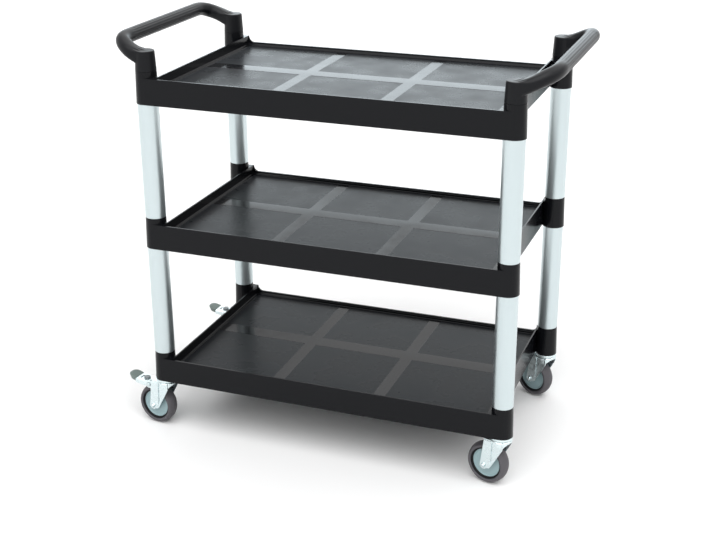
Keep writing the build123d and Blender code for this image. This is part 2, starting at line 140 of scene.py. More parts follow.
# Handles
handle_foot = 892.0
handle_foot_edge = 1.2
handle_foot_inset = 2.0
handle_top = 937.0
handle_post_top_radius = 21.7
handle_edge_radius = 4.0
cage_sides = 20
top_grid = 5
arm_axis_height = 916.5
arm_low_height = 909.5
arm_seat = 3.0
arm_crease = 0.85
arm_opening_angle = 63.0
arm_opening_slope = 1.9
arm_start_radius = 15.3
arm_start_half_width = 20.0
arm_squareness = 0.16
arm_bend_radius = 52.0
arm_bend_steps = 6
grip_radius = 16.4
grip_reach = 75.1
grip_height = 951.8
grip_shares = (0.04, 0.46, 0.46, 0.04)
arm_zone = 1.4 * grip_radius
grip_zone = 1.2 * grip_radius
flute_count = 16
flute_depth = 0.9
flute_half_length = 163.0
flute_fade = 12.0
flute_lowest = -0.4 * grip_radius
smoothing_levels = 3

# Caster, with its stem on the Z axis and its wheel trailing towards +X
wheel_radius = 50.0
trail = 31.0
tread_half_width = 15.0
tread_drop = 4.6
tread_steps = 10
moulding_line = 0.15
moulding_line_half = 0.45
inner_band_radius = 39.0
crown_low = 117.0
crown_high = 120.0
crown_radius = 25.0
fork_sheet = 2.8
fork_bend = 4.0
fork_edge = 0.45
leg_inside = 19.3
leg_outside = 21.8
leg_back = 32.0
leg_front = -16.0
eye_radius = 9.5
eye_start = 225.0
strap_outside = 23.2
strap_front_top = 11.0
strap_front_low = 13.0
strap_knee = 62.0
strap_foot = (17.0, 52.0)
strap_below_crown = 1.0
strap_sunk = 1.0
strap_edge = 0.7
groove_low = 60.0
groove_high = 115.0
groove_before = 1.5
groove_behind = 0.3
groove_cut = 1.4
groove_clear = 0.1
bolt_radius = 4.0
nut_width = 13.0
nut_height = 5.8
nut_chamfer = 1.9
nut_face_share = 0.95
nut_cone_share = 1.2
nut_cone_rise = 0.02

# Brake, in the caster's own place
pin_x = 42.0
pin_z = 104.775
pin_radius = 3.0
ear_radius = 8.5
ear_root_x = 36.0
cheek_inside = 15.5
cheek_outside = 17.5
cheek_start = 30.0
cheek_lug_radius = 7.5
cheek_lug_sweep = -150
pedal_sheet = 2.0
pedal_bend = 3.5
pedal_edge = 0.4
pedal_top = 109.275
pedal_start = 47.0
pedal_end = 86.0
pedal_trim_top = pedal_top + 5
cheek_slope_end = (pin_x + 1, pedal_trim_top)
cheek_low_edge = ((pedal_end, 98.9), (59.0, 96.3))
pedal_opening_half = cheek_inside + 0.6
tongue_length = 18.0
tongue_half_width = 12.0
tongue_overlap = 1.0
slot_x = 77.0
slot_width = 4.2
slot_length = 15.4
slot_rounding = 1.7
button_x = 62.0
button_radius = 8.0
button_height = 5.0
button_stud_radius = 3.0
button_stud_length = 9.0
cap_tilt = 14.0
cap_start = 0.5
cap_length = 27.0
cap_above = 3.0
cap_below = 9.5
cap_tip_flat = 5.0
cap_edge = 2.2
cap_foot_share = (0.72, 0.8, 1)
cap_rib_count = 6
cap_rib_pitch = 3.2
cap_rib_first = 4.0
cap_rib_radius = 1.0
cap_rib_proud = 0.6
cap_rib_tip = 3.2
cap_rib_shoulder = 3.8
clip_reach = 4.0
clip_half_width = 9.0
clip_low = 103.5
clip_edge = 0.8

# Profiles of the caster's pieces: (x, z) of the fork, and (radius, height) of what is turned, for the button
# with its inset from the rim in place of the radius
leg_web = (
    (leg_front, 106.0), (-15.2, 101.0), (-12.6, 96.0), (-6.0, 84.0),
    (4.1, 66.0), (12.4, 51.4), (14.0, 48.6), (17.0, 45.4),
)
dish_profile = (
    (22.5, 106.5), (24.5, 106.5), (crown_radius, 107.0), (crown_radius, 116.0), (24.6, 117.8), (23.5, 119.3),
    (21.8, crown_high), (5.1, crown_high), (5.1, crown_low), (21.0, crown_low), (22.1, 116.4), (22.5, 115.4),
)
dish_lower_edge = (
    (-30.0, 104.0), (-14.0, 104.0), (-16.5, 106.8), (-19.5, 110.4),
    (-22.5, 113.4), (-26.0, 115.4), (-30.0, 116.4),
)
stem_profile = (
    (4.2, 108.7), (5.0, 109.5), (5.0, 125.5), (22.5, 125.5), (22.5, 121.5), (24.6, 121.5), (25.0, 121.9),
    (25.0, 126.4), (24.7, 127.3), (24.0, 127.9), (23.0, 128.0), (6.0, 128.0), (6.0, 157.0), (5.2, 158.0),
)
hub_profile = (
    (6.05, 18.2), (6.6, 18.7), (11.3, 18.7), (12.0, 18.0), (12.3, 9.4), (13.2, 8.3), (15.0, 7.9),
    (29.0, 7.3), (30.8, 7.6), (32.0, 8.8), (32.6, 9.6), (33.9, 9.9), (34.4, 9.5), (34.5, 8.6),
)
tyre_side = (
    (34.5, 9.5), (38.2, 11.5), (38.9, 13.6), (39.6, 15.2),
    (40.8, 16.2), (42.4, 16.6), (43.8, 16.3), (44.9, 15.6),
)
bolt_head = ((6.5, 0.0), (6.5, 1.0), (6.2, 1.3), (5.0, 1.3), (5.0, 3.3), (4.6, 4.3), (3.6, 5.1), (2.0, 5.5))
bolt_end = ((3.2, -9.0), (bolt_radius, -8.2))
nut_collar = ((5.6, 5.0), (5.6, 6.6), (5.1, 7.0), (4.05, 7.0))
pin_head = ((2.2, 1.6), (4.2, 1.2), (5.4, 0.3), (5.4, 0.0), (pin_radius, 0.0))
button_rim = ((0.3, 0.0), (0.0, 0.3))
button_dome = ((0.0, -1.6), (0.5, -0.7), (1.6, -0.1), (4.0, 0.0), (4.8, -0.5))


# Modelling steps, as done by hand

def clear():
    """Deselects every object, so that the next operator acts on the new piece alone."""
    bpy.ops.object.select_all(action="DESELECT")


def added(name):
    """Names the primitive that was just added and puts its place and size into its mesh."""
    piece = bpy.context.object
    piece.name = name
    piece.data.name = name
    bpy.ops.object.transform_apply(location=True, rotation=True, scale=True)
    return piece


def edit(piece, action="SELECT", kind="VERT"):
    """Opens one piece in edit mode with all of it, or none of it, selected."""
    clear()
    piece.select_set(True)
    bpy.context.view_layer.objects.active = piece
    bpy.ops.object.mode_set(mode="EDIT")
    bpy.ops.mesh.select_mode(type=kind)
    bpy.ops.mesh.select_all(action=action)


def leave():
    """Leaves edit mode."""
    bpy.ops.object.mode_set(mode="OBJECT")


def done():
    """Leaves edit mode with every face turned outwards."""
    bpy.ops.mesh.select_all(action="SELECT")
    bpy.ops.mesh.normals_make_consistent(inside=False)
    leave()


def pick_edges(piece, rule, sharper_than=0, of_holes=False):
    """Selects, in edit mode, the sharp edges or those of holes whose two ends, in mm, the rule accepts."""
    edit(piece, "DESELECT", "EDGE")
    if of_holes:
        bpy.ops.mesh.select_non_manifold()
    else:
        bpy.ops.mesh.edges_select_sharp(sharpness=math.radians(sharper_than))
    leave()
    ends = [vertex.co / MM for vertex in piece.data.vertices]
    for edge in piece.data.edges:
        edge.select = edge.select and rule(*(ends[index] for index in edge.vertices))
    bpy.ops.object.mode_set(mode="EDIT")


def pick_faces(piece, rule):
    """Opens a piece in edit mode with the faces selected whose centre, in mm, and normal the rule accepts."""
    edit(piece, "DESELECT", "FACE")
    leave()
    for face in piece.data.polygons:
        face.select = rule(face.center / MM, face.normal)
    bpy.ops.object.mode_set(mode="EDIT")


def bevel(radius, segments=3):
    """Rounds the selected edges."""
    bpy.ops.mesh.bevel(offset=radius * MM, segments=segments, affect="EDGES", clamp_overlap=True)


def block(name, low, high):
    """Box between two corners."""
    clear()
    low, high = Vector(low) * MM, Vector(high) * MM
    bpy.ops.mesh.primitive_cube_add(size=1, location=(low + high) / 2)
    bpy.context.object.scale = high - low
    return added(name)


def turned(name, rings, sides=96, ring_shaped=False):
    """Shape turned about Z through (radius, height) rings; one with a hole through it closes on itself."""
    clear()
    radius, height = rings[0]
    fill = "NOTHING" if ring_shaped else "NGON"
    bpy.ops.mesh.primitive_circle_add(
        vertices=sides, radius=radius * MM, location=(0, 0, height * MM), fill_type=fill
    )
    piece = added(name)
    edit(piece)
    for next_radius, next_height in rings[1:]:
        rise = (next_height - height) * MM
        bpy.ops.mesh.extrude_region_move(TRANSFORM_OT_translate={"value": (0, 0, rise)})
        scale = next_radius / radius
        bpy.ops.transform.resize(value=(scale, scale, 1), center_override=(0, 0, next_height * MM))
        radius, height = next_radius, next_height
    if ring_shaped:
        bpy.ops.mesh.select_all(action="DESELECT")
        bpy.ops.mesh.select_non_manifold()
        bpy.ops.mesh.bridge_edge_loops()
    done()
    return piece


def drawn(name, start, moves, depth, step=6.0):
    """Plate drawn in XY and raised by its depth; a move is the next corner or an arc (centre, degrees)."""
    clear()
    bpy.ops.mesh.primitive_plane_add(size=MM)
    piece = added(name)
    edit(piece)
    bpy.ops.mesh.merge(type="CENTER")
    here = Vector(start)
    bpy.ops.transform.translate(value=(here.x * MM, here.y * MM, 0))
    for first, second in moves:
        if isinstance(first, tuple):
            centre, angle = Vector(first), math.radians(second)
            steps = max(3, round(abs(second) / step))
            bpy.ops.mesh.spin(steps=steps, angle=-angle, center=(*(centre * MM), 0), axis=(0, 0, 1))
            here = centre + Matrix.Rotation(angle, 2) @ (here - centre)
        else:
            there = Vector((first, second))
            stride = (there - here) * MM
            bpy.ops.mesh.extrude_region_move(TRANSFORM_OT_translate={"value": (stride.x, stride.y, 0)})
            here = there
    bpy.ops.mesh.select_all(action="SELECT")
    bpy.ops.mesh.remove_doubles(threshold=fine_margin * MM)
    bpy.ops.mesh.edge_face_add()
    bpy.ops.mesh.extrude_region_move(TRANSFORM_OT_translate={"value": (0, 0, depth * MM)})
    done()
    return piece


def stand(piece, far):
    """Stands a drawn plate up, so that its second direction is height and its far face lies at y = far."""
    piece.data.transform(Matrix.Translation((0, far * MM, 0)) @ Matrix.Rotation(math.pi / 2, 4, "X"))
    return piece


def apply_last(piece):
    """Applies the modifier that was added last."""
    bpy.context.view_layer.objects.active = piece
    bpy.ops.object.modifier_apply(modifier=piece.modifiers[-1].name)


def combine(piece, tool, operation):
    """Cuts a tool out of a piece, adds it or keeps what they share, and removes the tool."""
    change = piece.modifiers.new(operation, "BOOLEAN")
    change.operation = operation
    change.solver = "EXACT"
    change.object = tool
    apply_last(piece)
    bpy.data.objects.remove(tool)
    return piece


def rounded(piece, radius, segments=2, angle=30):
    """Rounds every edge of a piece that is sharper than an angle."""
    rounding = piece.modifiers.new("Rounding", "BEVEL")
    rounding.width = radius * MM
    rounding.segments = segments
    rounding.limit_method = "ANGLE"
    rounding.angle_limit = math.radians(angle)
    apply_last(piece)
    return piece


def joined(name, pieces):
    """Makes one object of several shells."""
    clear()
    for piece in pieces:
        piece.select_set(True)
    bpy.context.view_layer.objects.active = pieces[0]
    bpy.ops.object.join()
    pieces[0].name = name
    return pieces[0]


def shaded(piece, angle=35):
    """Smooth shading that keeps edges sharper than the angle, weighted so that large flats stay flat."""
    clear()
    piece.select_set(True)
    bpy.context.view_layer.objects.active = piece
    bpy.ops.object.shade_smooth_by_angle(angle=math.radians(angle))
    weighting = piece.modifiers.new("Weighting", "WEIGHTED_NORMAL")
    weighting.keep_sharp = True
    apply_last(piece)
    return piece


def copied(piece, name, place):
    """A copy with its own mesh, put in its place."""
    copy = piece.copy()
    copy.data = piece.data.copy()
    copy.name = name
    copy.data.transform(place)
    bpy.context.scene.collection.objects.link(copy)
    return copy


def fitted(piece, body, slot, *nodes):
    """Puts a finished piece on its body in place of the solids that it stands for."""
    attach(piece, body)
    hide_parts(*nodes)


# Materials

def linear(code):
    """Linear colour of an sRGB hex code."""
    values = [int(code[index:index + 2], 16) / 255 for index in (1, 3, 5)]
    bent = [v / 12.92 if v <= 0.04045 else ((v + 0.055) / 1.055) ** 2.4 for v in values]
    return (*bent, 1)


def per_mm(size):
    """Pattern scale, in repeats per metre, of a feature of that many millimetres."""
    return 1 / (size * MM)


def add(tree, kind, inputs=None, **settings):
    """Adds a node with its settings; an input is a value or the socket that feeds it."""
    node = tree.nodes.new(kind)
    for name, value in settings.items():
        setattr(node, name, value)
    for name, value in (inputs or {}).items():
        if isinstance(value, bpy.types.NodeSocket):
            tree.links.new(value, node.inputs[name])
        else:
            node.inputs[name].default_value = value
    return node


def finish(name, colour, roughness, **sockets):
    """A new material with its shader, ready for pattern nodes."""
    material = bpy.data.materials.new(name)
    material.use_nodes = True
    tree = material.node_tree
    shader = tree.nodes["Principled BSDF"]
    shader.inputs["Base Color"].default_value = linear(colour)
    shader.inputs["Roughness"].default_value = roughness
    for socket, value in sockets.items():
        shader.inputs[socket.replace("_", " ")].default_value = value
    place = add(tree, "ShaderNodeTexCoord").outputs["Object"]
    return material, tree, shader, place


def surfaced(tree, shader, relief, height, gloss, rough):
    """Raises a surface by one pattern, its height in mm, and lets its roughness follow another."""
    bump = add(tree, "ShaderNodeBump", {"Height": relief, "Distance": height * MM, "Strength": 1.0})
    tree.links.new(bump.outputs["Normal"], shader.inputs["Normal"])
    low, high = rough
    # A noise seldom leaves the range from 0.3 to 0.7
    span = add(tree, "ShaderNodeMapRange", {
        "Value": gloss, "From Min": 0.3, "From Max": 0.7, "To Min": low, "To Max": high,
    })
    tree.links.new(span.outputs["Result"], shader.inputs["Roughness"])


# The grain of a mould and the lines of a die are a few tenths of a millimetre wide. They are drawn about 1 mm
# wide, so that a close view shows them.

def grained(name, colour, rough, size, height, detail=2.0, **sockets):
    """A finish with the fine grain of a mould or of rolling, its size and height in mm."""
    material, tree, shader, place = finish(name, colour, sum(rough) / 2, **sockets)
    grain = add(tree, "ShaderNodeTexNoise", {
        "Vector": place, "Scale": per_mm(size), "Detail": detail,
    }, name="Grain")
    surfaced(tree, shader, grain.outputs["Fac"], height, grain.outputs["Fac"], rough)
    return material


def grained_polypropylene():
    """Deck panels, from a grained part of the tool: a dull non slip face with large soft patches of wear."""
    rough = (0.24, 0.34)
    grain_size, grain_height, wear_size = 1.6, 0.012, 60.0
    material, tree, shader, place = finish(
        "grained_polypropylene", "#131417", sum(rough) / 2, Specular_IOR_Level=0.05,
        Sheen_Weight=0.1, Sheen_Roughness=0.45, Sheen_Tint=linear("#e2f0f8")
    )
    grain = add(tree, "ShaderNodeTexNoise", {"Vector": place, "Scale": per_mm(grain_size), "Detail": 4.0})
    wear = add(tree, "ShaderNodeTexNoise", {"Vector": place, "Scale": per_mm(wear_size), "Detail": 3.0})
    surfaced(tree, shader, grain.outputs["Fac"], grain_height, wear.outputs["Fac"], rough)
    return material


def anodised_aluminium():
    """Extruded, etched and clear anodised: a pale satin metal with faint lines along the tube."""
    rough = (0.30, 0.40)
    line_width, line_height, stretch = 1.2, 0.004, 0.004
    material, tree, shader, place = finish("anodised_aluminium", "#c8d3d5", sum(rough) / 2, Metallic=1.0)
    stretched = add(tree, "ShaderNodeMapping", {"Vector": place, "Scale": (1, 1, stretch)})
    lines = add(tree, "ShaderNodeTexNoise", {
        "Vector": stretched.outputs["Vector"], "Scale": per_mm(line_width), "Detail": 2.0,
    })
    surfaced(tree, shader, lines.outputs["Fac"], line_height, lines.outputs["Fac"], rough)
    return material


def tyre_rubber():
    """Thermoplastic rubber: a dull dark grey, dusty in its fine grain."""
    material = grained(
        "tyre_rubber", "#4e4c50", (0.55, 0.72), size=1.1, height=0.02, detail=4.0, Specular_IOR_Level=0.35
    )
    tree = material.node_tree
    # The factor and the two colours go by number, because this node has each name several times
    dust = add(tree, "ShaderNodeMix", {
        0: tree.nodes["Grain"].outputs["Fac"], 6: linear("#4a484c"), 7: linear("#5b595d"),
    }, data_type="RGBA")
    tree.links.new(dust.outputs[2], tree.nodes["Principled BSDF"].inputs["Base Color"])
    return material


# Polypropylene from a spark eroded tool: an even black satin, with a fine grain that breaks up the highlights
SKIRT = grained(
    "black_polypropylene", "#0f1013", (0.16, 0.22), size=0.9, height=0.012, Specular_IOR_Level=0.16
)
# From a polished part of that tool: a black gloss that mirrors at a low angle
BAND = grained(
    "polished_polypropylene", "#141518", (0.12, 0.18), size=35.0, height=0.02, Specular_IOR_Level=0.11
)
PANEL = grained_polypropylene()
# A thicker moulding with a smoother skin, which holds a soft highlight along the grip
HANDLE = grained(
    "handle_polypropylene", "#101114", (0.32, 0.40), size=0.8, height=0.006, Specular_IOR_Level=0.18
)
ALUMINIUM = anodised_aluminium()
# Pressed steel with bright zinc: a cool mirror made uneven by the rolling and the plating
ZINC = grained("zinc_plated_steel", "#d9e5e7", (0.22, 0.36), size=9.0, height=0.004, Metallic=1.0)
FASTENER = grained("zinc_plated_fastener", "#cbd7d9", (0.22, 0.36), size=9.0, height=0.004, Metallic=1.0)
# Hardened and ground balls: a dark bright metal with a thin film of grease
BALL = grained("bearing_steel", "#b4b6b8", (0.1, 0.25), size=1.5, height=0.003, Metallic=1.0)
# Moulded nylon: a blue grey, slightly waxy plastic
HUB = grained("hub_nylon", "#97afb3", (0.34, 0.48), size=1.2, height=0.01, Specular_IOR_Level=0.45)
TYRE = tyre_rubber()
# Rubber of the brake's shoe and the tyre's inner band: black, half matt; on the clip under the slot it is
# painted shade
BLACK_RUBBER_AND_SHADE = grained("black_rubber_and_painted_shade", "#0d0e11", (0.4, 0.55), size=0.8, height=0.01, Specular_IOR_Level=0.2)
# Button on the brake pedal: a smooth dark grey moulding with a clear highlight
BUTTON = grained("button_polypropylene", "#6f7679", (0.2, 0.3), size=0.8, height=0.006)
# The pedal's tip: a dull grey green moulding
CAP = grained("cap_polypropylene", "#6c7975", (0.44, 0.58), size=0.9, height=0.02, Specular_IOR_Level=0.4)
# Plug in the bottom posts: black moulded nylon
PLUG = grained("plug_nylon", "#202022", (0.4, 0.5), size=1.0, height=0.01)


def painted(piece, *materials):
    """Gives a piece its materials, the first one all over."""
    piece.data.materials.clear()
    for material in materials:
        piece.data.materials.append(material)
    return piece


# Shelves

def shelf_shell():
    """Plan outline of the skirt and its four posts, raised with draft and closed underneath."""
    front = post_y + post_foot_radius
    meeting = math.acos((post_x - skirt_end) / post_foot_radius)
    sweep = 270 - math.degrees(meeting)
    meeting_y = post_y - post_foot_radius * math.sin(meeting)
    moves = [
        (post_x, -front),
        ((post_x, -post_y), sweep),
        (skirt_end, meeting_y),
        ((post_x, post_y), sweep),
        (-post_x, front),
        ((-post_x, post_y), sweep),
        (-skirt_end, -meeting_y),
        ((-post_x, -post_y), sweep),
    ]
    shell = drawn("shelf", (-post_x, -front), moves, skirt_first_rise, step=4.0)
    pick_faces(shell, lambda centre, normal: normal.z > level)
    rise = skirt_height - skirt_first_rise
    bpy.ops.mesh.inset(thickness=draft * rise * MM, depth=rise * MM)
    done()
    return shell


def tray_cutter():
    """The room above the deck, with the stepped ends and rounded inside corners."""
    right = list(end_wall_profile)
    left = [(-x, z) for x, z in reversed(right)]
    cutter = stand(drawn("tray", right[0], right[1:] + left, 2 * tray_half_depth), tray_half_depth)
    # The floor of the tray curves up into the back rim
    back = tray_half_depth - back_rim_gap
    low = (-skirt_end, -post_y - tray_room_front, deck_height)
    room = block("room", low, (skirt_end, back, tray_room_top))

    def is_back_foot(a, b):
        return min(a.y, b.y) > back - pick_margin and max(a.z, b.z) < deck_height + pick_margin
    pick_edges(room, is_back_foot)
    bevel(back_rim_fillet, segments=10)
    done()
    combine(cutter, room, "INTERSECT")
    return rounded(cutter, inside_rounding, segments=3, angle=20)


def back_dip_cutter():
    """Lowers the back rim between two upward sweeps."""
    arc_x = back_dip_half - back_dip_radius
    arc_z = back_rim_height + back_dip_radius
    moves = [
        (-back_dip_half, arc_z),
        ((-arc_x, arc_z), 90),
        (arc_x, back_rim_height),
        ((arc_x, arc_z), 90),
        (back_dip_half, post_height),
    ]
    dip = drawn("dip", (-back_dip_half, post_height), moves, back_dip_cut)
    return stand(dip, tray_half_depth - wall + back_dip_cut)


def underside_cutter():
    """The hollow below the deck."""
    half_x, half_y = skirt_end - wall, post_y + post_foot_radius - wall
    top = deck_height - deck_thickness
    cutter = block("underside", (-half_x, -half_y, -wall), (half_x, half_y, top))
    pick_faces(cutter, lambda centre, normal: normal.z > level)
    narrow = draft * top
    bpy.ops.transform.resize(value=((half_x - narrow) / half_x, (half_y - narrow) / half_y, 1))
    done()
    return rounded(cutter, inside_rounding)


def on_post(point):
    """Whether a point lies on or inside one of the four posts."""
    return math.hypot(abs(point.x) - post_x, abs(point.y) - post_y) < post_foot_radius - post_margin


def add_ribs(shelf):
    """Ribs under the deck, set into it and into the walls."""
    top = deck_height - deck_thickness
    half_x, half_y = skirt_end - wall + rib_bite, post_y + post_foot_radius - wall + rib_bite
    half_rib = rib_thickness / 2
    for side in (-1, 1):
        for shift in (-rib_gap / 2, rib_gap / 2):
            x = side * band_offset_x + shift
            low = (x - half_rib, -half_y, top - rib_height)
            combine(shelf, block("rib", low, (x + half_rib, half_y, top + rib_bite)), "UNION")
        # The long ribs lie a little higher, so that no two faces share a plane
        y, long_top = side * rib_gap / 2, top + long_rib_lift
        low = (-half_x, y - half_rib, long_top - rib_height)
        combine(shelf, block("rib", low, (half_x, y + half_rib, long_top + rib_bite)), "UNION")


def shelf_moulding():
    """One shelf, with its skirt starting at height 0."""
    shelf = shelf_shell()
    for cutter in (tray_cutter(), back_dip_cutter(), underside_cutter()):
        combine(shelf, cutter, "DIFFERENCE")

    # Soft edges along the rims
    def is_rim(a, b):
        return min(a.z, b.z) > back_rim_height - pick_margin and not (on_post(a) and on_post(b))
    pick_edges(shelf, is_rim, sharper_than=50)
    bevel(rim_rounding)
    done()
    add_ribs(shelf)
    # Posts above the rim, with a rounded top edge and the spigot that the next tube sits over
    neck = post_foot_radius - draft * skirt_height - post_proud
    rings = [(neck, skirt_height - post_sunk), (neck, skirt_height)]
    rings += [(tube_radius - inset, post_height - drop) for inset, drop in post_edge]
    rings += [
        (spigot_radius, post_height), (spigot_radius, post_height + spigot_straight),
        (spigot_tip_radius, post_height + spigot_length),
    ]
    post = turned("post", rings)
    socket = turned("socket", [(socket_radius, -wall), (socket_radius, socket_depth)])
    posts = []
    for sx in (-1, 1):
        for sy in (-1, 1):
            place = Matrix.Translation((sx * post_x * MM, sy * post_y * MM, 0))
            combine(shelf, copied(socket, "socket_copy", place), "DIFFERENCE")
            posts.append(painted(copied(post, "post_copy", place), SKIRT))
    bpy.data.objects.remove(post)
    bpy.data.objects.remove(socket)
    mark_panels(shelf)
    return shaded(joined("shelf", [shelf] + posts))


def mark_panels(shelf):
    """Cuts the deck into six grained panels, a little sunk, between polished bands."""
    def lies_at(height, centre, normal):
        return normal.z > level and abs(centre.z - height) < fine_margin

    def is_deck(centre, normal):
        return lies_at(deck_height, centre, normal)
    cross_half, long_half = cross_band_width / 2, long_band_width / 2
    cuts = [
        ((band_centre_x + side * band_offset_x + edge * cross_half, 0), (1, 0, 0))
        for side in (-1, 1) for edge in (-1, 1)
    ]
    cuts += [((0, band_centre_y + edge * long_half), (0, 1, 0)) for edge in (-1, 1)]
    for (x, y), across in cuts:
        pick_faces(shelf, is_deck)
        bpy.ops.mesh.bisect(plane_co=(x * MM, y * MM, 0), plane_no=across)
        leave()

    def is_panel(centre, normal):
        on_cross = abs(abs(centre.x - band_centre_x) - band_offset_x) < cross_half
        on_long = abs(centre.y - band_centre_y) < long_half
        return is_deck(centre, normal) and not on_cross and not on_long
    pick_faces(shelf, is_panel)
    bpy.ops.mesh.inset(thickness=panel_chamfer * MM, depth=-panel_step * MM, use_individual=True)
    leave()
    painted(shelf, SKIRT, BAND, PANEL)
    band, panel = 1, 2
    for face in shelf.data.polygons:
        centre, normal = face.center / MM, face.normal
        leans = normal.y < -back_fillet_lean and centre.y > 0
        in_back_fillet = leans and deck_height < centre.z < back_rim_height
        if is_deck(centre, normal) or in_back_fillet:
            face.material_index = band
        elif lies_at(deck_height - panel_step, centre, normal):
            face.material_index = panel


def make_shelves():
    """The same moulding at three heights."""
    moulding = shelf_moulding()
    for name, base in shelf_bases.items():
        shelf = copied(moulding, f"{name}_moulding", Matrix.Translation((0, 0, base * MM)))
        fitted(shelf, "frame", "shelf_plastic", name)
    bpy.data.objects.remove(moulding)


# Tubes

def make_tubes():
    """Eight cut lengths of the same extrusion, their ends deburred."""
    length = tube_high.z - tube_low.z
    inside = tube_radius - tube_wall
    bore_edge, rim_edge, end = inside + tube_deburr, tube_radius - tube_deburr, length - tube_deburr
    rings = [
        (bore_edge, 0), (rim_edge, 0), (tube_radius, tube_deburr), (tube_radius, end),
        (rim_edge, length), (bore_edge, length), (inside, end), (inside, tube_deburr),
    ]
    tube = shaded(painted(turned("tube", rings, sides=128, ring_shaped=True), ALUMINIUM))
    for tier in ("lower", "upper"):
        for corner in CORNERS:
            name = f"{tier}_tube_{corner}"
            low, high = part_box(name)
            place = Matrix.Translation(((low.x + high.x) / 2, (low.y + high.y) / 2, low.z))
            fitted(copied(tube, f"{name}_extrusion", place), "frame", "tube_aluminium", name)
    bpy.data.objects.remove(tube)


# Handles

# A smoothed ring lies inside the cage it is made from, so the cage is larger by this share
swell = 3 / (2 + math.cos(2 * math.pi / cage_sides))
half_side = Matrix.Rotation(math.pi / cage_sides, 4, "Z")


def handle_post():
    """Coarse cage of a post, opened from its side to its top, where the arm grows out of it."""
    def post_radius(height):
        share = (height - handle_foot) / (handle_top - handle_foot)
        return (tube_radius + (handle_post_top_radius - tube_radius) * share) * swell
    shoulder = handle_top - handle_edge_radius
    levels = [
        handle_foot, handle_foot + handle_foot_edge, arm_low_height - arm_seat, arm_low_height,
        (arm_low_height + shoulder) / 2, shoulder, handle_top,
    ]
    rings = [(post_radius(handle_foot) - handle_foot_inset, handle_foot)]
    rings += [(post_radius(z), z) for z in levels]
    rings += [(post_radius(handle_top) - handle_edge_radius, handle_top)]
    inner_line = rings[-1][0] * math.cos(math.radians(arm_opening_angle))

    def is_top(centre, normal):
        return normal.z > level and math.hypot(centre.x, centre.y) < pick_margin

    def is_opening(centre, normal):
        on_side = abs(centre.y) < arm_opening_slope * centre.x and centre.z > arm_low_height
        return on_side or (normal.z > level and centre.x > inner_line)
    post = turned("post", rings, sides=cage_sides)
    post.data.transform(half_side)
    # The flat top becomes a square grid
    pick_faces(post, is_top)
    bpy.ops.mesh.delete(type="ONLY_FACE")
    bpy.ops.mesh.select_mode(type="EDGE")
    bpy.ops.mesh.select_non_manifold()
    bpy.ops.mesh.fill_grid(span=top_grid, offset=0)
    leave()
    pick_faces(post, is_opening)
    bpy.ops.mesh.delete(type="FACE")
    leave()
    # The arm meets the post's side at a crisp line
    pick_edges(post, lambda a, b: max(a.z, b.z) < shoulder + pick_margin, of_holes=True)
    bpy.ops.transform.edge_crease(value=arm_crease)
    leave()
    return post


def handle_arm():
    """Coarse cage of the arms and the grip, bent flat like a pipe and then tilted up to the grip."""
    rise = grip_height - arm_axis_height
    run = math.hypot(rise, grip_reach) - arm_bend_radius
    clear()
    bpy.ops.mesh.primitive_circle_add(vertices=cage_sides, radius=grip_radius * swell * MM)
    arm = added("arm")
    upright = Matrix.Rotation(math.pi / 2, 4, "Z") @ Matrix.Rotation(math.pi / 2, 4, "X")
    arm.data.transform(upright @ half_side)
    arm.data.transform(Matrix.Translation((run * MM, -post_y * MM, 0)))
    edit(arm)
    bend_y = post_y - arm_bend_radius
    bend = {"steps": arm_bend_steps, "angle": -math.pi / 2, "axis": (0, 0, 1)}
    bpy.ops.mesh.spin(center=(run * MM, -bend_y * MM, 0), **bend)
    for share in grip_shares:
        bpy.ops.mesh.extrude_region_move(TRANSFORM_OT_translate={"value": (0, 2 * bend_y * share * MM, 0)})
    bpy.ops.mesh.spin(center=(run * MM, bend_y * MM, 0), **bend)
    leave()
    # Lower, wider and squarer where it leaves the posts
    thin, wide = arm_start_radius / grip_radius, arm_start_half_width / grip_radius
    for vertex in arm.data.vertices:
        near = (vertex.co.x / MM - run) / arm_bend_radius
        if near < 1.0 and abs(abs(vertex.co.y / MM) - post_y) < arm_zone:
            near = max(0.0, near)
            side_y = math.copysign(post_y * MM, vertex.co.y)
            out = vertex.co.y - side_y
            square = 1 + arm_squareness * (1 - near) * math.sin(2 * math.atan2(vertex.co.z, out)) ** 2
            vertex.co.z *= square * (thin + (1 - thin) * near)
            vertex.co.y = side_y + out * square * (wide + (1 - wide) * near)
    lift = Matrix.Translation((0, 0, arm_axis_height * MM))
    arm.data.transform(lift @ Matrix.Rotation(-math.atan2(rise, grip_reach), 4, "Y"))
    return arm


def handle_cage():
    """Two posts with the arm bridged into them."""
    posts = []
    for side in (-1, 1):
        post = handle_post()
        post.data.transform(Matrix.Translation((0, side * post_y * MM, 0)))
        posts.append(post)
    cage = joined("handle", [handle_arm()] + posts)
    for side in (-1, 1):
        pick_edges(cage, lambda a, b: side * (a.y + b.y) > 0, of_holes=True)
        bpy.ops.mesh.bridge_edge_loops()
        done()
    return cage


def press_flutes(handle):
    """Presses the flutes into the upper side of the grip, fading out towards its ends."""
    centre = Vector((grip_reach, 0, grip_height)) * MM
    for vertex in handle.data.vertices:
        across = Vector((vertex.co.x - centre.x, vertex.co.z - centre.z))
        past_end = abs(vertex.co.y) > flute_half_length * MM
        off_grip = across.length > grip_zone * MM or across.y < flute_lowest * MM
        if past_end or off_grip:
            continue
        turn = math.atan2(across.y, across.x) / 2 * flute_count
        fade = min(1.0, (flute_half_length - abs(vertex.co.y) / MM) / flute_fade)
        across *= 1 - fade * flute_depth * MM * (1 - abs(math.sin(turn))) / across.length
        vertex.co.x, vertex.co.z = centre.x + across.x, centre.z + across.y


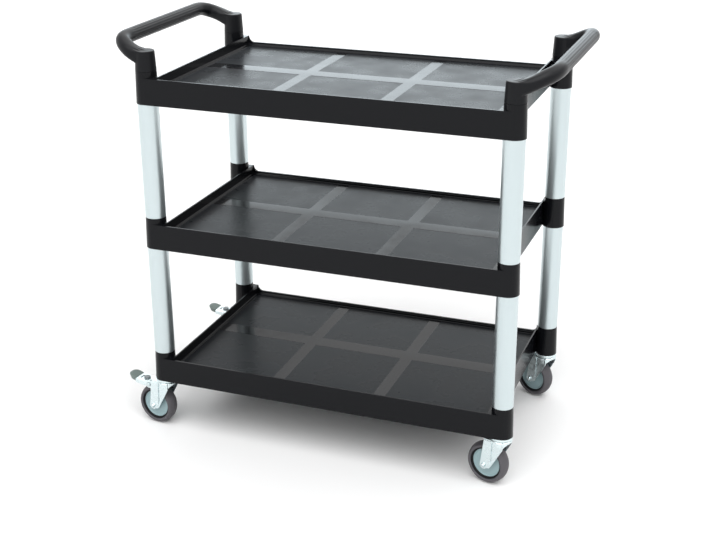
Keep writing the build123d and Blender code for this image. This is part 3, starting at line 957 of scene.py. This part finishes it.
def make_handles():
    """Smooths the cage, presses the flutes into its grip, and turns a copy round for the other end."""
    handle = handle_cage()
    smoothing = handle.modifiers.new("Smoothing", "SUBSURF")
    smoothing.levels = smoothing_levels
    smoothing.render_levels = smoothing_levels
    apply_last(handle)
    press_flutes(handle)
    edit(handle)
    done()
    shaded(painted(handle, HANDLE), angle=60)
    for name, turn in (("left_handle", math.pi), ("right_handle", 0)):
        place = Matrix.Rotation(turn, 4, "Z") @ Matrix.Translation((post_x * MM, 0, 0))
        fitted(copied(handle, f"{name}_moulding", place), "frame", "handle_plastic", name)
    bpy.data.objects.remove(handle)


# Casters

def caster_place(corner):
    """Where a caster stands and which way it trails, from its joints."""
    stem = Vector(JOINTS[f"{corner}_swivel"]["pos_m"])
    axle = Vector(JOINTS[f"{corner}_wheel_spin"]["pos_m"])
    heading = math.atan2(axle.y - stem.y, axle.x - stem.x)
    return Matrix.Translation((stem.x, stem.y, 0)) @ Matrix.Rotation(heading, 4, "Z")


def on_axle(piece, x=trail, z=wheel_radius):
    """Lays a piece turned about Z over, so that its axis is an axle along Y."""
    piece.data.transform(Matrix.Translation((x * MM, 0, z * MM)) @ Matrix.Rotation(-math.pi / 2, 4, "X"))
    return piece


def along_x(piece, start):
    """Lays a section drawn as (y, z) along X from its start."""
    turn = Matrix(((0, 0, 1, start * MM), (1, 0, 0, 0), (0, 1, 0, 0), (0, 0, 0, 1)))
    piece.data.transform(turn)
    return piece


def channel(name, outside, inside, low, high, sheet, bend, start, length):
    """Sheet folded to a U that is open below, laid along X, with rounded bends."""
    inner_bend = bend - (outside - inside)
    moves = [
        (-outside, high - bend), ((-outside + bend, high - bend), -90),
        (outside - bend, high), ((outside - bend, high - bend), -90),
        (outside, low), (inside, low), (inside, high - sheet - inner_bend),
        ((inside - inner_bend, high - sheet - inner_bend), 90),
        (-inside + inner_bend, high - sheet),
        ((-inside + inner_bend, high - sheet - inner_bend), 90), (-inside, low),
    ]
    return along_x(drawn(name, (-outside, low), moves, length, step=15), start)


# Where the outline of a leg or a strap runs onto the round eye of the axle, and its way round the eye
eye_point = (trail + eye_radius * math.cos(math.radians(eye_start)),
             wheel_radius + eye_radius * math.sin(math.radians(eye_start)))
round_the_eye = [eye_point, ((trail, wheel_radius), 360 - eye_start)]


def leg_outline(braked):
    """Side view of the legs: down the curved web at the front, round the axle's eye and up the back."""
    top = crown_high + tool_margin
    moves = [*leg_web, *round_the_eye]
    if braked:
        ear_low = pin_z - ear_radius
        moves += [(ear_root_x, ear_low), (pin_x, ear_low), ((pin_x, pin_z), 180)]
    moves += [(leg_back, crown_low), (leg_back, top)]
    return stand(drawn("legs", (leg_front, top), moves, 2 * crown_radius), crown_radius)


def fork(braked):
    """Pressed fork: folded legs, a dished crown turned down at the front, and a raised strap on each leg."""
    blank_low, blank_before, blank_length = 30, 5, 90
    body = channel(
        "fork", leg_outside, leg_inside, low=blank_low, high=crown_high - plane_gap, sheet=fork_sheet,
        bend=fork_bend, start=leg_front - blank_before, length=blank_length
    )
    combine(body, leg_outline(braked), "INTERSECT")
    dish = turned("dish", dish_profile, ring_shaped=True)
    cut_low, cut_reach = 100, 30
    back = block("back", (0, -cut_reach, cut_low), (cut_reach, cut_reach, crown_low - plane_gap))
    combine(dish, back, "DIFFERENCE")
    # Its turned edge rises from the legs to the front
    under = drawn("under", dish_lower_edge[0], dish_lower_edge[1:], 2 * cut_reach)
    combine(dish, stand(under, cut_reach), "DIFFERENCE")
    combine(body, dish, "UNION")
    rounded(body, fork_edge, segments=2, angle=40)
    # Groove pressed in beside the strap
    groove_start = (strap_front_top - groove_before, groove_high)
    groove_moves = [
        (strap_front_low - groove_before, groove_low), (strap_front_low + groove_behind, groove_low),
        (strap_front_top + groove_behind, groove_high),
    ]
    for far in (leg_outside + groove_clear, -leg_outside + groove_cut - groove_clear):
        groove = drawn("groove", groove_start, groove_moves, groove_cut)
        combine(body, stand(groove, far), "DIFFERENCE")
    # The straps are set a little into the legs
    strap_top = crown_low - strap_below_crown
    strap_moves = [(strap_front_low, strap_knee), strap_foot, *round_the_eye, (leg_back, strap_top)]
    strap_depth = strap_outside - leg_outside + strap_sunk
    straps = []
    for far in (strap_outside, -leg_outside + strap_sunk):
        strap = drawn("strap", (strap_front_top, strap_top), strap_moves, strap_depth)
        straps.append(rounded(stand(strap, far), strap_edge, segments=3))
    return shaded(painted(joined("fork", [body] + straps), ZINC))


def stem():
    """Swivel cup over the balls, with the stem above it and the king pin below."""
    return shaded(painted(turned("stem", stem_profile), ZINC))


def hub():
    """Wheel centre: boss on its bush, and a dished disc that lies back from the tyre's side."""
    far = [(radius, -height) for radius, height in reversed(hub_profile)]
    return shaded(painted(on_axle(turned("hub", [*hub_profile, *far], ring_shaped=True)), HUB))


def tyre():
    """Tread with a rounded crown and a fine moulding line round its middle, on a black inner band."""
    bow = (tread_half_width ** 2 + tread_drop ** 2) / (2 * tread_drop)
    foot = wheel_radius - moulding_line
    crown = []
    for index in range(-tread_steps, tread_steps + 1):
        y = tread_half_width * index / tread_steps
        if index:
            crown.append((foot - bow + math.sqrt(bow ** 2 - y ** 2), y))
        else:
            crown += [(foot, -moulding_line_half), (wheel_radius, 0.0), (foot, moulding_line_half)]
    far_side = [(radius, -y) for radius, y in tyre_side]
    rings = [*far_side, *crown, *reversed(tyre_side)]
    wheel = shaded(painted(on_axle(turned("tyre", rings, ring_shaped=True)), TYRE, BLACK_RUBBER_AND_SHADE))
    axle = Vector((trail, 0, wheel_radius))
    for face in wheel.data.polygons:
        away = face.center / MM - axle
        if math.hypot(away.x, away.z) < inner_band_radius:
            face.material_index = 1
    return wheel


def hexagon(name, width, height):
    """Hexagon with chamfered corners on its top face, standing on height 0."""
    radius = width / 2 / math.cos(math.pi / 6)
    head = turned(name, [(radius, 0), (radius, height)], sides=6)
    wide, narrow = radius * nut_cone_share, width / 2 * nut_face_share
    rings = [(wide, -tool_margin), (wide, height - nut_chamfer), (narrow, height + nut_cone_rise)]
    cone = turned("cone", rings)
    return combine(head, cone, "INTERSECT")


def axle_bolt():
    """Domed head on a washer against the strap, and the plain shank through the wheel."""
    rings = [(radius, -strap_outside + height) for radius, height in bolt_end]
    rings += [(bolt_radius, strap_outside)]
    rings += [(radius, strap_outside + height) for radius, height in bolt_head]
    return shaded(painted(on_axle(turned("bolt", rings, sides=64)), FASTENER))


def axle_nut():
    """Nut on the far leg with a rounded collar."""
    nut = joined("nut", [hexagon("nut", nut_width, nut_height), turned("collar", nut_collar)])
    nut.data.transform(Matrix.Translation((0, 0, -strap_outside * MM)) @ Matrix.Rotation(math.pi, 4, "X"))
    return shaded(painted(on_axle(nut), FASTENER))


def cap_place():
    """The pedal's tip: bent up from the end of its top."""
    tip = Matrix.Translation((pedal_end * MM, 0, (pedal_top - pedal_sheet / 2) * MM))
    return tip @ Matrix.Rotation(-math.radians(cap_tilt), 4, "Y")


def brake_pedal():
    """Folded channel with a slot in its closed top, hung on the pin, and a tongue bent up for the tip cap."""
    blank_low, trim_half = 60, 25
    body = channel(
        "pedal", cheek_outside, cheek_inside, low=blank_low, high=pedal_top, sheet=pedal_sheet,
        bend=pedal_bend, start=cheek_start, length=pedal_end - cheek_start
    )
    moves = [
        *cheek_low_edge, (pin_x, pin_z - cheek_lug_radius), ((pin_x, pin_z), cheek_lug_sweep),
        cheek_slope_end,
    ]
    side = drawn("side", (pedal_end, pedal_trim_top), moves, 2 * trim_half)
    combine(body, stand(side, trim_half), "INTERSECT")
    opening_start, opening_low, opening_high = 20, 105, 130
    low = (opening_start, -pedal_opening_half, opening_low)
    opening = block("opening", low, (pedal_start, pedal_opening_half, opening_high))
    combine(body, opening, "DIFFERENCE")
    half, reach = slot_width / 2, slot_length / 2
    slot_low, slot_high = 100, 120
    slot = block("slot", (slot_x - half, -reach, slot_low), (slot_x + half, reach, slot_high))
    combine(body, rounded(slot, slot_rounding, segments=4), "DIFFERENCE")
    rounded(body, pedal_edge, segments=2, angle=40)
    low = (-tongue_overlap, -tongue_half_width, -pedal_sheet / 2)
    tongue = block("tongue", low, (tongue_length, tongue_half_width, pedal_sheet / 2))
    tongue.data.transform(cap_place())
    return shaded(painted(joined("pedal", [body, tongue]), ZINC))


def pedal_cap():
    """Rounded tip cap with ribs across its top for the foot to grip."""
    corner = cheek_outside - cap_tip_flat / 2
    arc_x, arc_y = cap_length - corner, cap_tip_flat / 2
    moves = [
        (arc_x, -cheek_outside), ((arc_x, -arc_y), 90), (cap_length, arc_y), ((arc_x, arc_y), 90),
        (cap_start, cheek_outside),
    ]
    cap = drawn("cap", (cap_start, -cheek_outside), moves, cap_below + cap_above - cap_rib_proud)
    cap.data.transform(Matrix.Translation((0, 0, -cap_below * MM)))
    pick_faces(cap, lambda centre, normal: normal.z < -level)
    bpy.ops.transform.resize(value=cap_foot_share, center_override=(0, 0, -cap_below * MM))
    done()
    rounded(cap, cap_edge, segments=4, angle=40)
    ribs = []
    for index in range(cap_rib_count):
        x = cap_start + cap_rib_first + cap_rib_pitch * index
        reach = cheek_outside if x < arc_x else arc_y + math.sqrt(corner ** 2 - (x - arc_x) ** 2)
        near = [(cap_rib_radius / 2, reach - cap_rib_tip), (cap_rib_radius, reach - cap_rib_shoulder)]
        far = [(radius, -height) for radius, height in near]
        rib = turned("rib", [*far, *reversed(near)], sides=16)
        ribs.append(on_axle(rib, x, cap_above - cap_rib_radius))
    cap = joined("cap", [cap] + ribs)
    cap.data.transform(cap_place())
    # Clip under the pedal's top, coloured black as painted shade, so that the slot shows dark
    low = (slot_x - clip_reach, -clip_half_width, clip_low)
    clip = block("clip", low, (pedal_end + clip_reach, clip_half_width, pedal_top - pedal_sheet))
    return shaded(joined("cap", [painted(cap, CAP), painted(rounded(clip, clip_edge), BLACK_RUBBER_AND_SHADE)]))


def pedal_pin():
    """Riveted pin with low domed heads."""
    near = [(radius, strap_outside + height) for radius, height in pin_head]
    rings = [(radius, -height) for radius, height in near] + near[::-1]
    return shaded(painted(on_axle(turned("pin", rings, sides=48), pin_x, pin_z), FASTENER))


def shoe_button():
    """Round button on the pedal's top, whose stud holds the brake shoe underneath."""
    rings = [(button_stud_radius, pedal_top - button_stud_length), (button_stud_radius, pedal_top)]
    for base, edge in ((pedal_top, button_rim), (pedal_top + button_height, button_dome)):
        rings += [(button_radius - inset, base + height) for inset, height in edge]
    button = turned("button", rings, sides=64)
    button.data.transform(Matrix.Translation((button_x * MM, 0, 0)))
    return shaded(painted(button, BUTTON))


def make_casters():
    """Models each caster piece once and sets a copy at every corner."""
    common = {
        "stem": (stem(), "caster", "zinc_steel"),
        "hub": (hub(), "wheel", "hub_plastic"),
        "tyre": (tyre(), "wheel", "tyre_rubber"),
        "axle_bolt": (axle_bolt(), "caster", "fastener_steel"),
        "axle_nut": (axle_nut(), "caster", "fastener_steel"),
    }
    brake = {
        "brake_pedal": (brake_pedal(), "brake", "zinc_steel"),
        "pedal_cap": (pedal_cap(), "brake", "cap_plastic"),
        "pedal_pin": (pedal_pin(), "caster", "fastener_steel"),
        "shoe_button": (shoe_button(), "brake", "button_plastic"),
    }
    forks = {braked: (fork(braked), "caster", "zinc_steel") for braked in (False, True)}
    for corner in CORNERS:
        pieces = {"fork": forks[corner in BRAKED], **common}
        if corner in BRAKED:
            pieces.update(brake)
        for node, (model, body, slot) in pieces.items():
            name = f"{corner}_{node}"
            piece = copied(model, f"{name}_finished", caster_place(corner))
            fitted(piece, f"{corner}_{body}", slot, name)
    for model, _, _ in [*common.values(), *brake.values(), *forks.values()]:
        bpy.data.objects.remove(model)


def paint_kept_nodes():
    """Materials of the small inner pieces whose solids are already right."""
    finishes = {
        "bearing_balls": BALL, "axle_bush": FASTENER, "brake_shoe": BLACK_RUBBER_AND_SHADE, "king_pin_nuts": FASTENER,
        "socket_plugs": PLUG,
    }
    for name, node in NODES.items():
        for ending, material in finishes.items():
            if name.endswith(ending):
                painted(node, material)


# Studio, its places and sizes in metres

def make_floor():
    """Plain white floor that keeps the trolley's shadow."""
    clear()
    bpy.ops.mesh.primitive_plane_add(size=60)
    floor = added("floor")
    material, *_ = finish("white_floor", "#f7f7f7", 0.8, Specular_IOR_Level=0.1)
    floor.data.materials.append(material)


def make_lights():
    """Three broad soft lamps overhead, and a cool card behind that shows only in the gloss of the pieces."""
    softboxes = (("front", 2.8, 35, 0), ("back", 1.0, -35, 0), ("right", 1.05, 0, 35))
    for name, energy, turn_x, turn_y in softboxes:
        lamp = bpy.data.lights.new(name, "SUN")
        lamp.energy = energy
        lamp.angle = math.radians(70)
        softbox = bpy.data.objects.new(name, lamp)
        softbox.rotation_euler = (math.radians(turn_x), math.radians(turn_y), 0)
        bpy.context.scene.collection.objects.link(softbox)
    lamp = bpy.data.lights.new("horizon", "AREA")
    lamp.shape = "RECTANGLE"
    lamp.size = 22.0
    lamp.size_y = 8.0
    lamp.energy = 1270.0
    lamp.color = (0.80, 0.93, 1.0)
    card = bpy.data.objects.new("horizon", lamp)
    card.location = (-7.5, 20.0, 4.1)
    card.rotation_euler = (math.radians(-90), 0, 0)
    card.visible_camera = False
    card.visible_diffuse = False
    bpy.context.scene.collection.objects.link(card)


def make_world():
    """A dim dome that looks white to the eye, in reflections and through clear pieces."""
    world = bpy.data.worlds.new("studio")
    bpy.context.scene.world = world
    world.use_nodes = True
    tree = world.node_tree
    tree.nodes.clear()
    rays = add(tree, "ShaderNodeLightPath").outputs
    seen = add(tree, "ShaderNodeMath", {0: rays["Is Camera Ray"], 1: rays["Is Glossy Ray"]}, operation="ADD")
    shown = add(tree, "ShaderNodeMath", {0: seen.outputs[0], 1: rays["Is Transmission Ray"]},
                operation="ADD", use_clamp=True)
    dome = add(tree, "ShaderNodeBackground", {"Color": (1, 1, 1, 1), "Strength": 0.12})
    white = add(tree, "ShaderNodeBackground", {"Color": (1, 1, 1, 1), "Strength": 1.0})
    mix = add(tree, "ShaderNodeMixShader", {0: shown.outputs[0], 1: dome.outputs[0], 2: white.outputs[0]})
    add(tree, "ShaderNodeOutputWorld", {"Surface": mix.outputs[0]})


def make_camera():
    """The photograph's view, its angles in degrees."""
    place = (0.9959, -2.6688, 1.5437)
    azimuth, elevation, roll = (math.radians(angle) for angle in (20.54, 22.19, -0.29))
    lens = bpy.data.cameras.new("camera")
    lens.sensor_width = 36.0
    lens.lens = 63.70
    camera = bpy.data.objects.new("camera", lens)
    turn = Matrix.Rotation(azimuth, 4, "Z") @ Matrix.Rotation(math.pi / 2 - elevation, 4, "X")
    camera.matrix_world = Matrix.Translation(place) @ turn @ Matrix.Rotation(roll, 4, "Z")
    bpy.context.scene.collection.objects.link(camera)
    bpy.context.scene.camera = camera


make_shelves()
make_tubes()
make_handles()
make_casters()
paint_kept_nodes()
make_floor()
make_lights()
make_world()
make_camera()
bpy.context.scene.view_settings.view_transform = "Standard"
